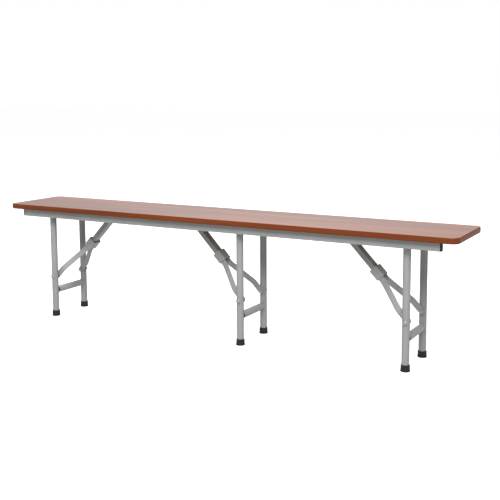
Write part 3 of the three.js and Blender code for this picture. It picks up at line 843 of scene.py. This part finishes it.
def bracket():
    """A plate under the board with a rounded ear on each side of the brace, pinned at the origin."""
    top = HINGE_DROP - SEAT_GAP
    ear_radius, ear_y = BRACKET_EAR / 2, BRACE_WIDTH / 2 + FIT_GAP + BRACKET_WALL / 2
    outline = rounded(BRACKET_LENGTH, 2 * ear_y + BRACKET_WALL, BRACKET_CORNER)
    plate = loft([level(outline, top - BRACKET_WALL), level(outline, top)])
    turns = [math.pi + math.pi * i / BRACKET_EAR_STEPS for i in range(BRACKET_EAR_STEPS + 1)]
    ear = [(ear_radius * math.cos(t), ear_radius * math.sin(t)) for t in turns]
    ear += [(ear_radius, top - BRACKET_WALL / 2), (-ear_radius, top - BRACKET_WALL / 2)]
    ears = []
    for side in (-1, 1):
        low, high = side * ear_y - BRACKET_WALL / 2, side * ear_y + BRACKET_WALL / 2
        ears.append(loft([[(x, low, z) for x, z in ear], [(x, high, z) for x, z in ear]]))
    hole = rod_y(HINGE_PIN / 2 + FIT_GAP, -BRACE_WIDTH, BRACE_WIDTH)
    return carved(carved(plate, joined=ears, rounding=BRACKET_ROUNDING), cutters=[hole])


def bracket_screws():
    """The four screw heads under the bracket's plate."""
    face = HINGE_DROP - SEAT_GAP - BRACKET_WALL
    head = cross_screw(BRACKET_SCREW_HEAD, BRACKET_SCREW_HEAD_HEIGHT, BRACKET_SCREW_RECESS)
    head = moved(head, Matrix.Rotation(math.pi, 4, "X"))
    spots = [(x * BRACKET_SCREW_X / 2, y * BRACKET_SCREW_Y / 2, face) for x in (-1, 1) for y in (-1, 1)]
    return copies(head, spots)


def joint_place(name):
    """A joint's place in the frame, in millimetres."""
    found = next(j for j in frame["joints"] if j["name"] == name)
    return Vector(found["pos_m"]) / MM


def link_lengths():
    """The arm link's and the brace's lengths, the link's angle and the hinge's offset from the leg's pin."""
    x, _ = SETS["left"]
    joint, hinge = joint_place("left_arm_fold"), joint_place("left_brace_swing")
    start = Vector((x, 0, ARM_PIN_HEIGHT))
    angle = math.atan2(hinge.z - start.z, hinge.x - start.x)
    return (joint - start).length, (hinge - joint).length, angle, hinge - start


LOWER, UPPER, LINK_ANGLE, HINGE_OFFSET = link_lengths()


def set_meshes():
    """The shapes that all three leg sets share."""
    meshes = {
        "leg": finished(leg(), "leg_tube", "painted_steel"),
        "stretcher": finished(stretcher(), "stretcher_tube", "bore_painted_shade"),
        "welds": finished(welds(), "weld_beads", "painted_steel"),
        "foot": finished(foot(), "foot_cup", "black_rubber"),
        "axle": finished(axle(), "axle_rod", "zinc_steel"),
        "bolt": finished(arm_bolt(), "arm_bolt", "zinc_steel"),
        "brace": finished(brace(), "brace_tube", "painted_steel"),
        "sleeve": finished(sleeve(), "lock_sleeve", "painted_steel"),
        "bracket": finished(bracket(), "bracket_plate", "painted_steel"),
        "screws": finished(bracket_screws(), "bracket_screws", "zinc_steel"),
    }
    rivet_reach = ARM_JOINT_Y + ARM_THICKNESS / 2 + SEAT_GAP
    rivet = two_headed(RIVET, rivet_reach, RIVET_HEAD, RIVET_HEAD_HEIGHT, RIVET_HEAD_RIM)
    meshes["rivet"] = finished(shifted(rivet, LOWER), "joint_rivet", "zinc_steel")
    pin_reach = BRACE_WIDTH / 2 + FIT_GAP + BRACKET_WALL + SEAT_GAP
    pin = two_headed(HINGE_PIN, pin_reach, HINGE_HEAD, HINGE_HEAD_HEIGHT, HINGE_HEAD_RIM)
    meshes["pin"] = finished(pin, "hinge_pin", "zinc_steel")
    for side in (-1, 1):
        meshes["arm", side] = finished(arm(side), "arm_bar", "painted_steel")
        meshes["nut", side] = finished(nut_and_washer(side), "arm_nut", "zinc_steel", NUT_SHARP_ANGLE)
    return meshes


def add_sets():
    meshes = set_meshes()
    for name, (x, half_turn) in SETS.items():
        base = Matrix.Translation((x, 0, 0)) @ Matrix.Rotation(math.pi if half_turn else 0, 4, "Z")
        link = base @ Matrix.Translation((0, 0, ARM_PIN_HEIGHT)) @ Matrix.Rotation(-LINK_ANGLE, 4, "Y")
        hinge = base @ Matrix.Translation((HINGE_OFFSET.x, 0, ARM_PIN_HEIGHT + HINGE_OFFSET.z))
        cross = base @ Matrix.Translation((0, 0, STRETCHER_HEIGHT))
        axle_at = base @ Matrix.Translation((0, 0, PIVOT_Z))
        legs, arms = f"{name}_legs", f"{name}_arms"
        brace_bar, sleeve_body = f"{name}_brace_bar", f"{name}_sleeve"
        # Each piece's name, shape, slot, body and place, and the CAD node that it stands for
        pieces = []
        for side in (-1, 1):
            spot = "front" if side * (-1 if half_turn else 1) < 0 else "rear"
            at = base @ Matrix.Translation((0, side * LEG_Y, 0))
            bolt_turn = Matrix.Rotation(0 if side > 0 else math.pi, 4, "Z")
            bolt_at = at @ Matrix.Translation((0, 0, ARM_PIN_HEIGHT)) @ bolt_turn
            pieces += [
                (f"{spot}_leg_tube", "leg", "painted_steel", legs, at, f"leg_{spot}"),
                (f"{spot}_foot_cup", "foot", "black_rubber", legs, at, f"foot_{spot}"),
                (f"{spot}_bolt", "bolt", "zinc_steel", legs, bolt_at, f"arm_bolt_{spot}"),
                (f"{spot}_arm_bar", ("arm", side), "painted_steel", arms, link, f"arm_{spot}"),
                (f"{spot}_nut", ("nut", side), "zinc_steel", arms, link, None),
            ]
        pieces += [
            ("cross_tube", "stretcher", "painted_steel", legs, cross, "stretcher"),
            ("weld_beads", "welds", "painted_steel", legs, cross, None),
            ("axle_rod", "axle", "zinc_steel", "seat", axle_at, "axle"),
            ("brace_tube", "brace", "painted_steel", brace_bar, link, "brace"),
            ("rivet", "rivet", "zinc_steel", brace_bar, link, "joint_rivet"),
            ("sleeve_collar", "sleeve", "painted_steel", sleeve_body, link, "lock_sleeve"),
            ("bracket_plate", "bracket", "painted_steel", "seat", hinge, "brace_bracket"),
            ("bracket_screws", "screws", "zinc_steel", "seat", hinge, None),
            ("pin", "pin", "zinc_steel", "seat", hinge, "hinge_pin"),
        ]
        for piece, mesh, slot, body, matrix, node in pieces:
            place(f"{name}_{piece}", meshes[mesh], body, matrix, [f"{name}_{node}"] if node else ())


add_seat()
add_rails()
add_sets()
frame["nodes"]["seat_core"].data.materials.clear()
frame["nodes"]["seat_core"].data.materials.append(LOOKS["board_core"])


# Camera, light and floor


def add_camera():
    """The photograph's view, from a pinhole fit to its edges and corners."""
    yaw, pitch, roll, position = -0.5133, -0.1199, 0.0047, (1.57612, -2.58813, 0.868)
    picture, focal_pixels, principal_row, sensor, far_clip = 500, 848.2, 197.65, 36, 100
    forward = Vector((math.sin(yaw) * math.cos(pitch), math.cos(yaw) * math.cos(pitch), math.sin(pitch)))
    right = Vector((math.cos(yaw), -math.sin(yaw), 0))
    down = forward.cross(right)
    cosine, sine = math.cos(roll), math.sin(roll)
    right, down = right * cosine + down * sine, down * cosine - right * sine
    data = bpy.data.cameras.new("camera")
    data.sensor_width = sensor
    data.lens = sensor * focal_pixels / picture
    data.shift_y = (principal_row - picture / 2) / picture
    data.clip_end = far_clip
    camera = bpy.data.objects.new("camera", data)
    bpy.context.scene.collection.objects.link(camera)
    turn = Matrix((right, -down, -forward)).transposed().to_4x4()
    camera.matrix_world = Matrix.Translation(position) @ turn
    bpy.context.scene.camera = camera


def seen_white(tree):
    """1 on rays that show the background: seen straight, in a gloss, or through glass."""
    path = tree.nodes.new("ShaderNodeLightPath")
    value = path.outputs["Is Camera Ray"]
    for other in ("Is Glossy Ray", "Is Transmission Ray"):
        most = tree.nodes.new("ShaderNodeMath")
        most.operation = "MAXIMUM"
        tree.links.new(value, most.inputs[0])
        tree.links.new(path.outputs[other], most.inputs[1])
        value = most.outputs[0]
    return value


def add_world():
    """A weak even light that shows as white."""
    ambient = 0.1
    world = bpy.data.worlds.new("studio")
    bpy.context.scene.world = world
    world.use_nodes = True
    tree = world.node_tree
    background = tree.nodes["Background"]
    span = tree.nodes.new("ShaderNodeMapRange")
    span.inputs["To Min"].default_value = ambient
    span.inputs["To Max"].default_value = 1.0
    tree.links.new(seen_white(tree), span.inputs["Value"])
    tree.links.new(span.outputs["Result"], background.inputs["Strength"])
    background.inputs["Color"].default_value = (1, 1, 1, 1)


def add_floor():
    """A pale floor that shows as white with the object's shadow, and as nothing from below."""
    half_size, depth, shade, glow_strength = 40, 0.0002, 0.6, 0.93
    bm = bmesh.new()
    bmesh.ops.create_grid(bm, x_segments=1, y_segments=1, size=half_size)
    mesh = bpy.data.meshes.new("floor")
    bm.to_mesh(mesh)
    bm.free()
    floor = bpy.data.objects.new("floor", mesh)
    floor.location.z = -depth
    bpy.context.scene.collection.objects.link(floor)
    material = bpy.data.materials.new("floor")
    material.use_nodes = True
    tree = material.node_tree
    tree.nodes.remove(tree.nodes["Principled BSDF"])
    diffuse = tree.nodes.new("ShaderNodeBsdfDiffuse")
    diffuse.inputs["Color"].default_value = grey(shade)
    glow = tree.nodes.new("ShaderNodeEmission")
    strength = tree.nodes.new("ShaderNodeMath")
    strength.operation = "MULTIPLY"
    strength.inputs[1].default_value = glow_strength
    tree.links.new(seen_white(tree), strength.inputs[0])
    tree.links.new(strength.outputs[0], glow.inputs["Strength"])
    both = tree.nodes.new("ShaderNodeAddShader")
    tree.links.new(diffuse.outputs[0], both.inputs[0])
    tree.links.new(glow.outputs[0], both.inputs[1])
    clear = tree.nodes.new("ShaderNodeBsdfTransparent")
    sides = tree.nodes.new("ShaderNodeNewGeometry")
    mix = tree.nodes.new("ShaderNodeMixShader")
    tree.links.new(sides.outputs["Backfacing"], mix.inputs[0])
    tree.links.new(both.outputs[0], mix.inputs[1])
    tree.links.new(clear.outputs[0], mix.inputs[2])
    tree.links.new(mix.outputs[0], tree.nodes["Material Output"].inputs["Surface"])
    mesh.materials.append(material)


def add_lamp(name, at, target, size, watts):
    """A square lamp that faces its target."""
    data = bpy.data.lights.new(name, "AREA")
    data.shape = "RECTANGLE"
    data.size, data.size_y = size, size
    data.energy = watts
    lamp = bpy.data.objects.new(name, data)
    bpy.context.scene.collection.objects.link(lamp)
    lamp.location = at
    lamp.rotation_euler = (Vector(target) - Vector(at)).to_track_quat("-Z", "Y").to_euler()


add_camera()
add_world()
add_floor()
add_lamp("key", at=(1.5, -3.4, 4.4), target=(0, 0, 0.3), size=3.0, watts=370)
add_lamp("back", at=(-1.6, 3.0, 4.4), target=(0, 0, 0.2), size=2.6, watts=150)
bpy.context.scene.view_settings.view_transform = "Standard"
